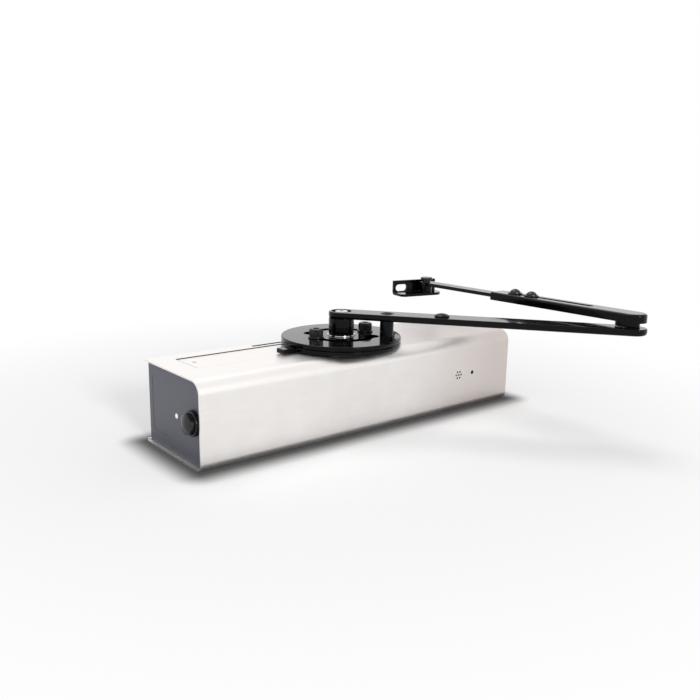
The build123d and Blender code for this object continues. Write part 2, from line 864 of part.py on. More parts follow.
with BuildPart() as microphone:
    with BuildSketch(Plane.XZ.offset(-sound_board_y)):
        with Locations((mic_x, sound_z)):
            Circle(mic_r)
    extrude(amount=mic_h)
microphone.part.label = "microphone"
export_step(microphone.part, "parts/microphone.step")

# Saddles: two steel hat sections that carry the hydraulic unit off the mounting plate
with BuildPart() as saddles:
    for x in saddle_x:
        with BuildSketch(Plane.XY.offset(-saddle_height / 2)):
            with BuildLine():
                Polyline(
                    (x - saddle_half - saddle_foot, -door_plate),
                    (x - saddle_half - saddle_foot, -door_plate - saddle_t),
                    (x - saddle_half, -door_plate - saddle_t),
                    (x - saddle_half, unit_back),
                    (x + saddle_half, unit_back),
                    (x + saddle_half, -door_plate - saddle_t),
                    (x + saddle_half + saddle_foot, -door_plate - saddle_t),
                    (x + saddle_half + saddle_foot, -door_plate),
                    (x + saddle_half - saddle_t, -door_plate),
                    (x + saddle_half - saddle_t, unit_back + saddle_t),
                    (x - saddle_half + saddle_t, unit_back + saddle_t),
                    (x - saddle_half + saddle_t, -door_plate),
                    close=True,
                )
            make_face()
        extrude(amount=saddle_height)
    with BuildSketch(Plane.XZ.offset(-unit_back - saddle_t)):
        with Locations(*unit_screw_points):
            Circle(unit_screw_r + seat_fit)
    extrude(amount=saddle_t, mode=Mode.SUBTRACT)
saddles.part.label = "saddles"
export_step(saddles.part, "parts/saddles.step")

# Unit screws: countersunk in the mounting plate, through the saddles into the hydraulic unit
unit_screw_shape = countersunk(unit_screw_r, door_plate, unit_screw_bite - unit_back, unit_screw_socket)
with BuildPart() as unit_screws:
    with Locations(*unit_screw_seats):
        add(unit_screw_shape)
unit_screws.part.label = "unit_screws"
export_step(unit_screws.part, "parts/unit_screws.step")

# Housing of the hydraulic unit: a cast block about the pinion and a tube for the closing spring
with BuildPart() as unit_housing:
    with BuildSketch(Plane.YZ.offset(unit_left)):
        with Locations((spindle_y, 0)):
            RectangleRounded(unit_depth, unit_height, cast_edge)
    extrude(amount=block_right - unit_left)
    with BuildSketch(Plane.YZ.offset(block_right)):
        with Locations((spindle_y, 0)):
            Circle(tube_r)
    extrude(amount=unit_right - block_right)
    with BuildSketch(spindle_plane(-boss_z)):
        Circle(boss_r)
    extrude(amount=2 * boss_z)
    with BuildSketch(Plane.YZ.offset(unit_left)):
        with Locations((spindle_y, 0)):
            Circle(bore_r)
    extrude(amount=unit_right - unit_left, mode=Mode.SUBTRACT)
    with BuildSketch(spindle_plane(-boss_z)):
        Circle(bearing_r + seat_fit)
    extrude(amount=2 * boss_z, mode=Mode.SUBTRACT)
    with BuildSketch(Plane.XZ.offset(-unit_back)):
        with Locations(*unit_screw_points):
            Circle(unit_screw_r + seat_fit)
    extrude(amount=unit_screw_bite, mode=Mode.SUBTRACT)
    with BuildSketch(Plane.XZ.offset(-unit_front)):
        with Locations((valve_x, valve_z), (valve_x, -valve_z)):
            Circle(valve_r + seat_fit)
    extrude(amount=-valve_depth, mode=Mode.SUBTRACT)
    with BuildSketch(Plane.XZ.offset(-unit_back)):
        with Locations((solenoid_x, 0)):
            Circle(solenoid_thread_r + seat_fit)
    extrude(amount=solenoid_bite, mode=Mode.SUBTRACT)
unit_housing.part.label = "unit_housing"
export_step(unit_housing.part, "parts/unit_housing.step")

# Regulating valves: closing speed and latching speed
with BuildPart() as regulating_valves:
    with BuildSketch(Plane.XZ.offset(-unit_front)):
        with Locations((valve_x, valve_z), (valve_x, -valve_z)):
            Circle(valve_r)
            Rectangle(2 * valve_r, valve_slot, mode=Mode.SUBTRACT)
    extrude(amount=valve_proud)
    with BuildSketch(Plane.XZ.offset(-unit_front)):
        with Locations((valve_x, valve_z), (valve_x, -valve_z)):
            Circle(valve_r)
    extrude(amount=-valve_depth)
regulating_valves.part.label = "regulating_valves"
export_step(regulating_valves.part, "parts/regulating_valves.step")

# Solenoid valve: holds the oil back until the alarm sounds or the battery runs low
with BuildPart() as solenoid_valve:
    with BuildSketch(Plane.XZ.offset(-unit_back)):
        with Locations((solenoid_x, 0)):
            Circle(solenoid_thread_r)
    extrude(amount=solenoid_bite)
    with BuildSketch(Plane.XZ.offset(-unit_back)):
        with Locations((solenoid_x, 0)):
            RegularPolygon(solenoid_hex / 2, 6, major_radius=False)
    extrude(amount=-solenoid_hex_h)
    with BuildSketch(Plane.XZ.offset(-unit_back - solenoid_hex_h)):
        with Locations((solenoid_x, 0)):
            Circle(solenoid_r)
    extrude(amount=-solenoid_l)
solenoid_valve.part.label = "solenoid_valve"
export_step(solenoid_valve.part, "parts/solenoid_valve.step")

# Left end cap of the bore
with BuildPart() as end_cap:
    with BuildSketch(left_plane(unit_left + cap_thread, spindle_y, 0)):
        Circle(bore_r - seat_fit)
    extrude(amount=cap_thread)
    with BuildSketch(left_plane(unit_left, spindle_y, 0)):
        Circle(cap_flange_r)
    extrude(amount=cap_flange)
    with BuildSketch(left_plane(unit_left - cap_flange, spindle_y, 0)):
        RegularPolygon(cap_socket / 2, 6, major_radius=False)
    extrude(amount=-cap_flange, mode=Mode.SUBTRACT)
    with BuildSketch(left_plane(unit_left + cap_thread - ring_edge, spindle_y, 0)):
        Circle(bore_r)
        Circle(bore_r - ring_groove, mode=Mode.SUBTRACT)
    extrude(amount=ring_width, mode=Mode.SUBTRACT)
end_cap.part.label = "end_cap"
export_step(end_cap.part, "parts/end_cap.step")

# Spring adjuster: plug in the tube that the closing spring bears on
with BuildPart() as spring_adjuster:
    with BuildSketch(Plane.YZ.offset(adjuster_face)):
        with Locations((spindle_y, 0)):
            Circle(bore_r - seat_fit)
    extrude(amount=unit_right - adjuster_face)
    with BuildSketch(Plane.YZ.offset(unit_right)):
        with Locations((spindle_y, 0)):
            RegularPolygon(adjuster_hex / 2, 6, major_radius=False)
    extrude(amount=adjuster_hex_h)
    with BuildSketch(Plane.YZ.offset(adjuster_face + ring_edge)):
        with Locations((spindle_y, 0)):
            Circle(bore_r)
            Circle(bore_r - ring_groove, mode=Mode.SUBTRACT)
    extrude(amount=ring_width, mode=Mode.SUBTRACT)
spring_adjuster.part.label = "spring_adjuster"
export_step(spring_adjuster.part, "parts/spring_adjuster.step")

# Bore seals: a ring in the groove of each plug
with BuildPart() as bore_seals:
    for ring_x in (unit_left + cap_thread - ring_edge - ring_width, adjuster_face + ring_edge):
        with BuildSketch(Plane.YZ.offset(ring_x + seat_fit)):
            with Locations((spindle_y, 0)):
                Circle(bore_r - seat_fit)
                Circle(bore_r - ring_groove + seat_fit, mode=Mode.SUBTRACT)
        extrude(amount=ring_width - 2 * seat_fit)
bore_seals.part.label = "bore_seals"
export_step(bore_seals.part, "parts/bore_seals.step")

# Shaft bearings, seal and caps, above and below the pinion
with BuildPart() as upper_bearing:
    with BuildSketch(spindle_plane(bearing_z)):
        Circle(bearing_r)
        Circle(shaft_r + running, mode=Mode.SUBTRACT)
    extrude(amount=bearing_h)
upper_bearing.part.label = "upper_bearing"
export_step(upper_bearing.part, "parts/upper_bearing.step")

with BuildPart() as lower_bearing:
    with BuildSketch(spindle_plane(-bearing_z)):
        Circle(bearing_r)
        Circle(shaft_r + running, mode=Mode.SUBTRACT)
    extrude(amount=-bearing_h)
lower_bearing.part.label = "lower_bearing"
export_step(lower_bearing.part, "parts/lower_bearing.step")

with BuildPart() as shaft_seal:
    with BuildSketch(spindle_plane(bearing_z + bearing_h)):
        Circle(bearing_r)
        Circle(shaft_r + 2 * running, mode=Mode.SUBTRACT)
    extrude(amount=seal_h)
shaft_seal.part.label = "shaft_seal"
export_step(shaft_seal.part, "parts/shaft_seal.step")

with BuildPart() as seal_retainer:
    with BuildSketch(spindle_plane(bearing_z + bearing_h + seal_h)):
        Circle(bearing_r)
        Circle(neck_r + assembly_gap, mode=Mode.SUBTRACT)
    extrude(amount=boss_z - bearing_z - bearing_h - seal_h)
seal_retainer.part.label = "seal_retainer"
export_step(seal_retainer.part, "parts/seal_retainer.step")

with BuildPart() as bottom_cap:
    with BuildSketch(spindle_plane(-boss_z)):
        Circle(bearing_r)
    extrude(amount=boss_z - bearing_z - bearing_h - assembly_gap)
bottom_cap.part.label = "bottom_cap"
export_step(bottom_cap.part, "parts/bottom_cap.step")

# Pinion shaft: involute pinion, journals, square for the drive disc and journal for the hub
with BuildSketch() as tooth:
    with BuildLine():
        upper_flank = Spline(*[flank_point(r, 1) for r in flank_radii])
        lower_flank = Spline(*[flank_point(r, -1) for r in flank_radii])
        ThreePointArc(upper_flank @ 1, (outer_r, 0), lower_flank @ 1)
        Polyline(upper_flank @ 0, (0, 0), lower_flank @ 0)
    make_face()

with BuildPart() as pinion_shaft:
    with BuildSketch(spindle_plane(-gear_face / 2)):
        Circle(root_r)
        with PolarLocations(0, teeth, start_angle=90):
            add(tooth.sketch)
    extrude(amount=gear_face)
    with BuildSketch(spindle_plane(-bearing_z - bearing_h)):
        Circle(shaft_r)
    extrude(amount=bearing_z + bearing_h + shoulder_z)
    with BuildSketch(spindle_plane(shoulder_z)):
        Circle(neck_r)
    extrude(amount=drive_disc_z - shoulder_z)
    with BuildSketch(spindle_plane(drive_disc_z)):
        Rectangle(key_size, key_size)
    extrude(amount=disc_t)
    with BuildSketch(spindle_plane(drive_disc_z + disc_t)):
        Circle(journal_r)
    extrude(amount=journal_top - drive_disc_z - disc_t)
    with BuildSketch(spindle_plane(journal_top)):
        Circle(retaining_thread_r + seat_fit)
    extrude(amount=-retaining_thread_l, mode=Mode.SUBTRACT)
pinion_shaft.part.label = "pinion_shaft"
export_step(pinion_shaft.part, "parts/pinion_shaft.step")

# Piston: a window round the pinion, with the rack cut along its front side
with BuildPart() as piston:
    with BuildSketch(Plane.YZ.offset(spindle_x + window_left - piston_head)):
        with Locations((spindle_y, 0)):
            Circle(bore_r - piston_clear)
    extrude(amount=window_right - window_left + 2 * piston_head)
    with BuildSketch(spindle_plane(-bore_r)):
        with Locations(((window_left + window_right) / 2, (window_back - rack_tip) / 2)):
            Rectangle(window_right - window_left, window_back + rack_tip)
        for step in range(rack_first, rack_last + 1):
            with BuildLine():
                Polyline(
                    (step * pitch - space_mouth, -rack_tip + 1),
                    (step * pitch - space_mouth, -rack_tip),
                    (step * pitch - space_root, -rack_root),
                    (step * pitch + space_root, -rack_root),
                    (step * pitch + space_mouth, -rack_tip),
                    (step * pitch + space_mouth, -rack_tip + 1),
                    close=True,
                )
            make_face()
    extrude(amount=2 * bore_r, mode=Mode.SUBTRACT)
    for groove_x in (window_left - piston_head / 2, window_right + piston_head / 2):
        with BuildSketch(Plane.YZ.offset(spindle_x + groove_x - ring_width / 2)):
            with Locations((spindle_y, 0)):
                Circle(bore_r)
                Circle(bore_r - ring_groove, mode=Mode.SUBTRACT)
        extrude(amount=ring_width, mode=Mode.SUBTRACT)
piston.part.label = "piston"
export_step(piston.part, "parts/piston.step")

# Piston rings, one in the groove of each head
with BuildPart() as piston_rings:
    for groove_x in (window_left - piston_head / 2, window_right + piston_head / 2):
        with BuildSketch(Plane.YZ.offset(spindle_x + groove_x - ring_width / 2 + seat_fit)):
            with Locations((spindle_y, 0)):
                Circle(bore_r - piston_clear)
                Circle(bore_r - ring_groove + seat_fit, mode=Mode.SUBTRACT)
        extrude(amount=ring_width - 2 * seat_fit)
piston_rings.part.label = "piston_rings"
export_step(piston_rings.part, "parts/piston_rings.step")

# Closing spring: rectangular wire, between the piston and the adjuster
with BuildPart() as closing_spring:
    with BuildLine() as coil:
        Helix(
            spring_pitch,
            spring_pitch * spring_turns,
            spring_mean_r,
            center=(spring_start, spindle_y, 0),
            direction=(1, 0, 0),
        )
    with BuildSketch(Plane(origin=coil.line @ 0, x_dir=(1, 0, 0), z_dir=coil.line % 0)):
        Rectangle(2 * wire_r, 2 * wire_r)
    sweep(is_frenet=True)
closing_spring.part.label = "closing_spring"
export_step(closing_spring.part, "parts/closing_spring.step")

# Drive disc: keyed to the pinion shaft, with a lug at the rim
with BuildPart() as drive_disc:
    with BuildSketch(spindle_plane(drive_disc_z)):
        Circle(disc_r)
    extrude(amount=disc_t)
    chamfer(drive_disc.edges(), disc_chamfer)
    with BuildSketch(spindle_plane(drive_disc_z)):
        with PolarLocations((tab_reach + disc_r) / 2 - tab_root / 2, 1, start_angle=tab_angle):
            Rectangle(tab_reach - disc_r + tab_root, tab_width)
    extrude(amount=disc_t)
    with BuildSketch(spindle_plane(drive_disc_z)):
        Rectangle(key_size + 2 * seat_fit, key_size + 2 * seat_fit)
        with PolarLocations(drive_pcd_r, 2, start_angle=drive_angle):
            Circle(drive_shank_r + seat_fit)
    extrude(amount=disc_t, mode=Mode.SUBTRACT)
drive_disc.part.label = "drive_disc"
export_step(drive_disc.part, "parts/drive_disc.step")

# Drive screws and their washers: they stand up through the slots of the swing disc
with BuildPart() as drive_screws:
    with BuildSketch(spindle_plane(drive_disc_z)):
        with PolarLocations(drive_pcd_r, 2, start_angle=drive_angle):
            Circle(drive_shank_r)
    extrude(amount=drive_washer_z + drive_washer_t - drive_disc_z)
    with BuildSketch(spindle_plane(drive_washer_z + drive_washer_t)):
        with PolarLocations(drive_pcd_r, 2, start_angle=drive_angle):
            Circle(drive_head_r)
    extrude(amount=drive_head_h)
    chamfer(drive_screws.edges().group_by(Axis.Z)[-1], disc_chamfer)
    with BuildSketch(spindle_plane(drive_washer_z + drive_washer_t + drive_head_h)):
        with PolarLocations(drive_pcd_r, 2, start_angle=drive_angle):
            RegularPolygon(drive_socket / 2, 6, major_radius=False)
    extrude(amount=-drive_head_h / 2, mode=Mode.SUBTRACT)
drive_screws.part.label = "drive_screws"
export_step(drive_screws.part, "parts/drive_screws.step")

with BuildPart() as drive_washers:
    with BuildSketch(spindle_plane(drive_washer_z)):
        with PolarLocations(drive_pcd_r, 2, start_angle=drive_angle):
            Circle(drive_washer_r)
            Circle(drive_shank_r + seat_fit, mode=Mode.SUBTRACT)
    extrude(amount=drive_washer_t)
drive_washers.part.label = "drive_washers"
export_step(drive_washers.part, "parts/drive_washers.step")

slot_paths = [CenterArc((0, 0), drive_pcd_r, start, slot_sweep) for start in (drive_angle, drive_angle + 180)]

# Swing disc: two kidney slots, each ending in a round opening that a screw head passes through
with BuildPart() as swing_disc:
    with BuildSketch(spindle_plane(swing_disc_z)):
        Circle(disc_r)
    extrude(amount=disc_t)
    chamfer(swing_disc.edges(), disc_chamfer)
    with BuildSketch(spindle_plane(swing_disc_z)):
        Circle(hub_r + seat_fit)
        for slot_path in slot_paths:
            SlotArc(slot_path, 2 * (drive_shank_r + slot_clear))
        with PolarLocations(drive_pcd_r, 2, start_angle=drive_angle + slot_sweep):
            Circle(bulb_r)
        with PolarLocations(post_x, 1, start_angle=arm_angle):
            Circle(post_spigot_r + seat_fit)
    extrude(amount=disc_t, mode=Mode.SUBTRACT)
swing_disc.part.label = "swing_disc"
export_step(swing_disc.part, "parts/swing_disc.step")

# Hub: turned sleeve through the swing disc, with a spigot in the eye of the arm
with BuildPart() as hub:
    with BuildSketch(spindle_plane(swing_disc_z)):
        Circle(hub_r)
    extrude(amount=arm_z - swing_disc_z)
    with BuildSketch(spindle_plane(arm_z)):
        Circle(arm_seat_r - seat_fit)
    extrude(amount=spigot_top - arm_z)
    with BuildSketch(spindle_plane(swing_disc_z)):
        Circle(journal_r + bush_wall + seat_fit)
    extrude(amount=spigot_top - swing_disc_z, mode=Mode.SUBTRACT)
hub.part.label = "hub"
export_step(hub.part, "parts/hub.step")

# Hub ring: collar pressed on the hub where it leaves the swing disc
with BuildPart() as hub_ring:
    with BuildSketch(spindle_plane(swing_disc_top)):
        Circle(hub_ring_r)
        Circle(hub_r + seat_fit, mode=Mode.SUBTRACT)
    extrude(amount=hub_ring_t)
hub_ring.part.label = "hub_ring"
export_step(hub_ring.part, "parts/hub_ring.step")

with BuildPart() as hub_bush:
    with BuildSketch(spindle_plane(swing_disc_z)):
        Circle(journal_r + bush_wall)
        Circle(journal_r + running, mode=Mode.SUBTRACT)
    extrude(amount=spigot_top - swing_disc_z)
hub_bush.part.label = "hub_bush"
export_step(hub_bush.part, "parts/hub_bush.step")

# Main arm: flat bar with round ends and rounded lower edges
with BuildPart() as main_arm:
    with BuildSketch(arm_plane(arm_z)):
        Circle(arm_hub_r)
        with Locations((arm_length, 0)):
            Circle(arm_elbow_r)
        make_hull()
    extrude(amount=arm_t)
    fillet(main_arm.edges().group_by(Axis.Z)[0], arm_under_r)
    chamfer(main_arm.edges().group_by(Axis.Z)[-1], arm_edge)
    with BuildSketch(arm_plane(arm_z)):
        Circle(arm_seat_r)
        with Locations((post_x, 0)):
            Circle(post_spigot_r + seat_fit)
        with Locations((stud_x, 0)):
            Circle(stud_shank_r + seat_fit)
        with Locations((arm_length, 0)):
            Circle(elbow_pin_r + seat_fit)
    extrude(amount=arm_t, mode=Mode.SUBTRACT)
main_arm.part.label = "main_arm"
export_step(main_arm.part, "parts/main_arm.step")

# Retaining washer and screw, in the eye of the arm
with BuildPart() as retaining_washer:
    with BuildSketch(spindle_plane(journal_top)):
        Circle(arm_seat_r - assembly_gap)
        Circle(retaining_thread_r + seat_fit, mode=Mode.SUBTRACT)
    extrude(amount=retaining_washer_t)
retaining_washer.part.label = "retaining_washer"
export_step(retaining_washer.part, "parts/retaining_washer.step")

with BuildPart() as retaining_screw:
    with BuildSketch(spindle_plane(journal_top + retaining_washer_t)):
        Circle(retaining_head_r)
    extrude(amount=retaining_head_t)
    chamfer(retaining_screw.edges().group_by(Axis.Z)[-1], 0.4)
    with BuildSketch(spindle_plane(journal_top + retaining_washer_t)):
        Circle(retaining_thread_r)
    extrude(amount=-retaining_washer_t - retaining_thread_l)
    with BuildSketch(spindle_plane(journal_top + retaining_washer_t + retaining_head_t)):
        RegularPolygon(retaining_socket / 2, 6, major_radius=False)
    extrude(amount=-retaining_head_t - retaining_washer_t, mode=Mode.SUBTRACT)
retaining_screw.part.label = "retaining_screw"
export_step(retaining_screw.part, "parts/retaining_screw.step")

post_axis = Axis(arm_plane(0).from_local_coords(Vector(post_x, 0, 0)), (0, 0, 1))

# Post: riveted through the arm above and the swing disc below, so that they turn together
with BuildPart() as post:
    with BuildSketch(Plane(origin=post_axis.position, x_dir=(1, 0, 0), z_dir=(0, -1, 0))):
        with BuildLine():
            Polyline(
                (0, arm_top + rivet_h),
                (0, swing_disc_z),
                (post_spigot_r, swing_disc_z),
                (post_spigot_r, swing_disc_top),
                (post_r, swing_disc_top),
                (post_r, arm_z),
                (post_spigot_r, arm_z),
                (post_spigot_r, arm_top),
                (rivet_r, arm_top),
            )
            TangentArc((0, arm_top + rivet_h), (rivet_r, arm_top), tangent=(1, 0))
        make_face()
    revolve(axis=post_axis)
post.part.label = "post"
export_step(post.part, "parts/post.step")

# Stud on top of the arm
stud_shape = domed(stud_r, 0.35 * stud_h, stud_h, stud_shank_r, arm_t)
with BuildPart() as arm_stud:
    with Locations(arm_plane(arm_top)):
        with Locations((stud_x, 0)):
            add(stud_shape)
arm_stud.part.label = "arm_stud"
export_step(arm_stud.part, "parts/arm_stud.step")

# Elbow: pin riveted in the arm, thrust washer, and a knuckle block with a bush that hangs from the forearm
with BuildPart() as elbow_pin:
    with BuildSketch(arm_plane(arm_z)):
        with Locations((arm_length, 0)):
            Circle(elbow_pin_r)
    extrude(amount=pin_head_z - arm_z)
    with BuildSketch(arm_plane(pin_head_z)):
        with Locations((arm_length, 0)):
            Circle(pin_head_r)
    extrude(amount=pin_head_h)
elbow_pin.part.label = "elbow_pin"
export_step(elbow_pin.part, "parts/elbow_pin.step")

with BuildPart() as elbow_spacer:
    with BuildSketch(arm_plane(arm_top)):
        with Locations((arm_length, 0)):
            Circle(spacer_r)
            Circle(elbow_pin_r + seat_fit, mode=Mode.SUBTRACT)
    extrude(amount=spacer_t)
elbow_spacer.part.label = "elbow_spacer"
export_step(elbow_spacer.part, "parts/elbow_spacer.step")

with BuildPart() as elbow_block:
    with BuildSketch(forearm_plane(knuckle_z)):
        Circle(knuckle_r)
        with Locations((knuckle_reach, 0)):
            Circle(knuckle_heel_r)
        make_hull()
    extrude(amount=web_under - knuckle_z)
    with BuildSketch(forearm_plane(forearm_z)):
        Circle(forearm_half - forearm_t - seat_fit)
    extrude(amount=web_under - forearm_z)
    with BuildSketch(forearm_plane(knuckle_z)):
        Circle(elbow_bush_r + seat_fit)
    extrude(amount=web_under - knuckle_z, mode=Mode.SUBTRACT)
    with BuildSketch(forearm_plane(web_under)):
        Circle(pin_head_r + assembly_gap)
    extrude(amount=-pin_head_h - 2 * assembly_gap, mode=Mode.SUBTRACT)
elbow_block.part.label = "elbow_block"
export_step(elbow_block.part, "parts/elbow_block.step")

with BuildPart() as elbow_bush:
    with BuildSketch(forearm_plane(knuckle_z)):
        Circle(elbow_bush_r)
        Circle(elbow_pin_r + running, mode=Mode.SUBTRACT)
    extrude(amount=pin_head_z - assembly_gap - knuckle_z)
elbow_bush.part.label = "elbow_bush"
export_step(elbow_bush.part, "parts/elbow_bush.step")

# Forearm: pressed channel, open below and at its far end, slotted for the clamp screws
with BuildPart() as forearm_channel:
    with BuildSketch(forearm_plane(forearm_z)):
        Circle(forearm_half)
        with Locations((forearm_length / 2, 0)):
            Rectangle(forearm_length, 2 * forearm_half)
    extrude(amount=forearm_h)
    top_edges = forearm_channel.edges().group_by(Axis.Z)[-1]
    fillet(top_edges.sort_by(Axis.Y)[:-1], forearm_edge)
    with BuildSketch(forearm_plane(forearm_z)):
        Circle(forearm_half - forearm_t)
        with Locations((forearm_length / 2, 0)):
            Rectangle(forearm_length, 2 * (forearm_half - forearm_t))
    extrude(amount=forearm_h - forearm_t, mode=Mode.SUBTRACT)
    with BuildSketch(forearm_plane(web_under)):
        with Locations(((slot_start + slot_end) / 2, 0)):
            SlotOverall(slot_end - slot_start, slot_width)
    extrude(amount=forearm_t, mode=Mode.SUBTRACT)
forearm_channel.part.label = "forearm_channel"
export_step(forearm_channel.part, "parts/forearm_channel.step")

# Slide rod: flat bar inside the channel, with the eye of the shoe pivot at its end
with BuildPart() as slide_rod:
    with BuildSketch(forearm_plane(rod_z)):
        with Locations(((rod_start + pivot_x) / 2, 0)):
            Rectangle(pivot_x - rod_start, 2 * rod_half)
        with Locations((pivot_x, 0)):
            Circle(rod_half)
            Circle(pivot_r + running, mode=Mode.SUBTRACT)
        with Locations((clamp_x, 0), (clamp_x + clamp_pitch, 0)):
            Circle(clamp_shank_r + seat_fit, mode=Mode.SUBTRACT)
    extrude(amount=rod_t)
slide_rod.part.label = "slide_rod"
export_step(slide_rod.part, "parts/slide_rod.step")

# Clamp screws: flanged button heads, through the slot of the channel into the rod
clamp_length = clamp_seat - rod_z
clamp_shape = domed(clamp_head_r, 0.35 * clamp_head_h, clamp_head_h, clamp_shank_r, clamp_length, clamp_socket)
with BuildPart() as clamp_screws:
    with Locations(forearm_plane(clamp_seat)):
        with Locations((clamp_x, 0), (clamp_x + clamp_pitch, 0)):
            add(clamp_shape)
    with BuildSketch(forearm_plane(clamp_seat)):
        with Locations((clamp_x, 0), (clamp_x + clamp_pitch, 0)):
            Circle(clamp_flange_r)
    extrude(amount=clamp_flange_t)
clamp_screws.part.label = "clamp_screws"
export_step(clamp_screws.part, "parts/clamp_screws.step")

# Shoe: bent bracket with a ledge under the pivot and an upright plate with two fixing holes
with BuildPart() as shoe_bracket:
    with BuildSketch(shoe_end(shoe_left)):
        with BuildLine():
            Polyline(
                (web_y - shoe_bend, ledge_top),
                (ledge_front, ledge_top),
                (ledge_front, ledge_bottom),
                (web_y - shoe_bend, ledge_bottom),
            )
            TangentArc(
                (web_y - shoe_bend, ledge_bottom),
                (web_y + shoe_t, ledge_top + shoe_bend),
                tangent=(1, 0),
            )
            Polyline(
                (web_y + shoe_t, ledge_top + shoe_bend),
                (web_y + shoe_t, web_top),
                (web_y, web_top),
                (web_y, ledge_top + shoe_bend),
            )
            TangentArc((web_y, ledge_top + shoe_bend), (web_y - shoe_bend, ledge_top), tangent=(0, -1))
        make_face()
    extrude(amount=shoe_right - shoe_left)
    across = Axis((0, 0, 0), (-shoe_dir[1], shoe_dir[0], 0))
    front_corners = shoe_bracket.edges().filter_by(Axis.Z).group_by(across)[0].sort_by(Axis.X)
    fillet(front_corners[0], shoe_corner)
    front_corners = shoe_bracket.edges().filter_by(Axis.Z).group_by(across)[0].sort_by(Axis.X)
    fillet(front_corners[-1], shoe_cut)
    with BuildSketch(shoe_plane(ledge_bottom)):
        Circle(pivot_r + seat_fit)
    extrude(amount=shoe_t, mode=Mode.SUBTRACT)
    with BuildSketch(shoe_upright(web_y)):
        with Locations((shoe_slot_x, shoe_hole_z)):
            SlotOverall(shoe_slot_l, shoe_slot_w)
        with Locations((shoe_hole_x, shoe_hole_z)):
            Circle(shoe_hole_r)
    extrude(amount=-shoe_t, mode=Mode.SUBTRACT)
shoe_bracket.part.label = "shoe_bracket"
export_step(shoe_bracket.part, "parts/shoe_bracket.step")

with BuildPart() as pivot_spacer:
    with BuildSketch(shoe_plane(ledge_top)):
        Circle(pivot_spacer_r)
        Circle(pivot_r + seat_fit, mode=Mode.SUBTRACT)
    extrude(amount=rod_z - slide_gap - ledge_top)
pivot_spacer.part.label = "pivot_spacer"
export_step(pivot_spacer.part, "parts/pivot_spacer.step")

with BuildPart() as pivot_bolt:
    with BuildSketch(shoe_plane(ledge_bottom)):
        Circle(pivot_r)
    extrude(amount=rod_top + slide_gap - ledge_bottom)
    with BuildSketch(shoe_plane(rod_top + slide_gap)):
        Circle(pivot_collar_r)
    extrude(amount=pivot_collar_h)
    with BuildSketch(shoe_plane(rod_top + slide_gap + pivot_collar_h)):
        Circle(pivot_head_r)
    extrude(amount=pivot_head_h)
    fillet(pivot_bolt.edges().group_by(Axis.Z)[-1], pivot_head_round)
pivot_bolt.part.label = "pivot_bolt"
export_step(pivot_bolt.part, "parts/pivot_bolt.step")
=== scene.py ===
import json
import math
import bmesh
import bpy
import numpy as np
from mathutils import Matrix, Vector


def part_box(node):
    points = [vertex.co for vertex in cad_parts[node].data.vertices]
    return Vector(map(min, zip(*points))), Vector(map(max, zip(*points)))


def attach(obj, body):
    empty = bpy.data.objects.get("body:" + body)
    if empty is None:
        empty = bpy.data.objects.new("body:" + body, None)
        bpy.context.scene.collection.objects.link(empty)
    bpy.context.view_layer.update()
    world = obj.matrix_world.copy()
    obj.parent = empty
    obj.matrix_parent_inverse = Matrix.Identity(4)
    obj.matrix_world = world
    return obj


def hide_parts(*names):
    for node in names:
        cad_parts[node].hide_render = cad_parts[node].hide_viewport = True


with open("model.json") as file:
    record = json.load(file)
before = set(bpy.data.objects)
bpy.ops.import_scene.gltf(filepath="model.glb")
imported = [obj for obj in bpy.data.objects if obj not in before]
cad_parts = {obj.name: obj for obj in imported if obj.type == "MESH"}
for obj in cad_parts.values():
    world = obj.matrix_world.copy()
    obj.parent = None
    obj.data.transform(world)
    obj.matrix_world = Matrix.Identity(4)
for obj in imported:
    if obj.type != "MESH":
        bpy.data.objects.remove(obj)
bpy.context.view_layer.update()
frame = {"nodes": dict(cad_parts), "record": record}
nodes = frame["nodes"]
slotOf = {row["node"]: row["material_slot"] for row in frame["record"]["subparts"]}
print("frame loaded:", len(nodes), "nodes")

mm = 0.001
mergeGap = 0.001 * mm  # points nearer than this are one
smoothAngle = math.radians(35)
bevelAngle = math.radians(40)
noiseLow, noiseHigh = 0.3, 0.7  # the part of a noise's range that is used
tintShare = 0.65  # how far a noise carries the ground colour towards its tint
sensorMm = 36.0
imagePx = 700
coverLow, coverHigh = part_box("cover")
floorZ = coverLow[2]  # the casing stands on the floor


# sRGB hex text to linear RGBA
def toLinear(hexColour):
    channels = [int(hexColour[i:i + 2], 16) / 255 for i in (1, 3, 5)]
    linear = [c / 12.92 if c <= 0.04045 else ((c + 0.055) / 1.055) ** 2.4 for c in channels]
    return (*linear, 1.0)


# one node, with its settings and the values or links of its inputs
def addNode(tree, kind, settings=None, inputs=None):
    node = tree.nodes.new(kind)
    for key, value in (settings or {}).items():
        setattr(node, key, value)
    for key, value in (inputs or {}).items():
        if isinstance(value, bpy.types.NodeSocket):
            tree.links.new(value, node.inputs[key])
        else:
            node.inputs[key].default_value = value
    return node


